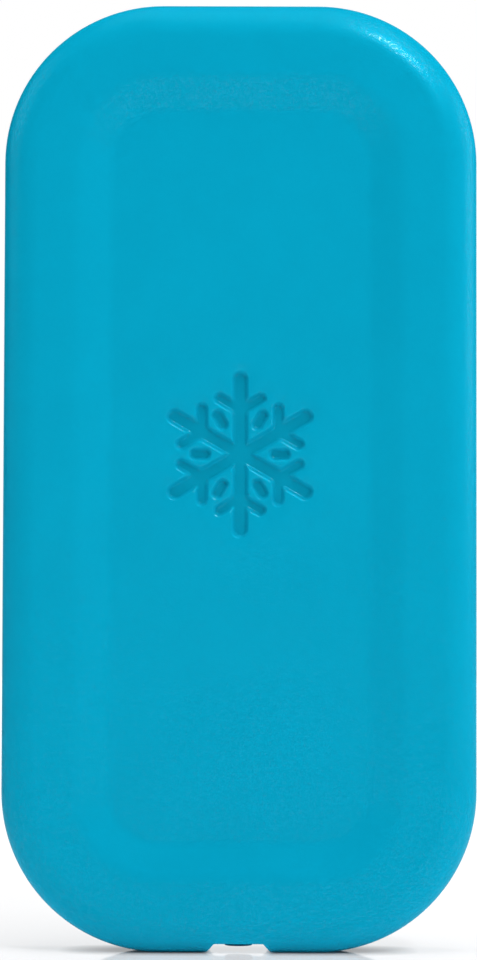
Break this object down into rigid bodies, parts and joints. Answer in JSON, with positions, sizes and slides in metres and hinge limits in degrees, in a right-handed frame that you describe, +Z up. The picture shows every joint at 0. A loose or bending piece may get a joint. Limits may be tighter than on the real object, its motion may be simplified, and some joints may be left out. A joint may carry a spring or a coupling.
{
  "type": "reusable ice pack",
  "caption": "Flat hard-shell reusable ice pack with large round corners, rolled edges, a sunk panel in each face, a snowflake pressed into the front, and a small round plug in a notch in its base.",
  "frame": {"origin": "middle of the narrow end that the pack stands on, at the level of its two feet", "axes": "+Z up along the pack's length, +X to the right seen from the front, the front face looks along -Y"},
  "size_m": [0.1254, 0.025, 0.2503],
  "materials": {
    "shell": "cyan-blue blow-moulded polyethylene, satin, with a fine moulded grain",
    "plug": "smooth satin polyethylene, a much darker blue than the shell"
  },
  "bodies": {
    "root": {"pack_body": "shell", "fill_plug": "plug"}
  },
  "joints": []
}
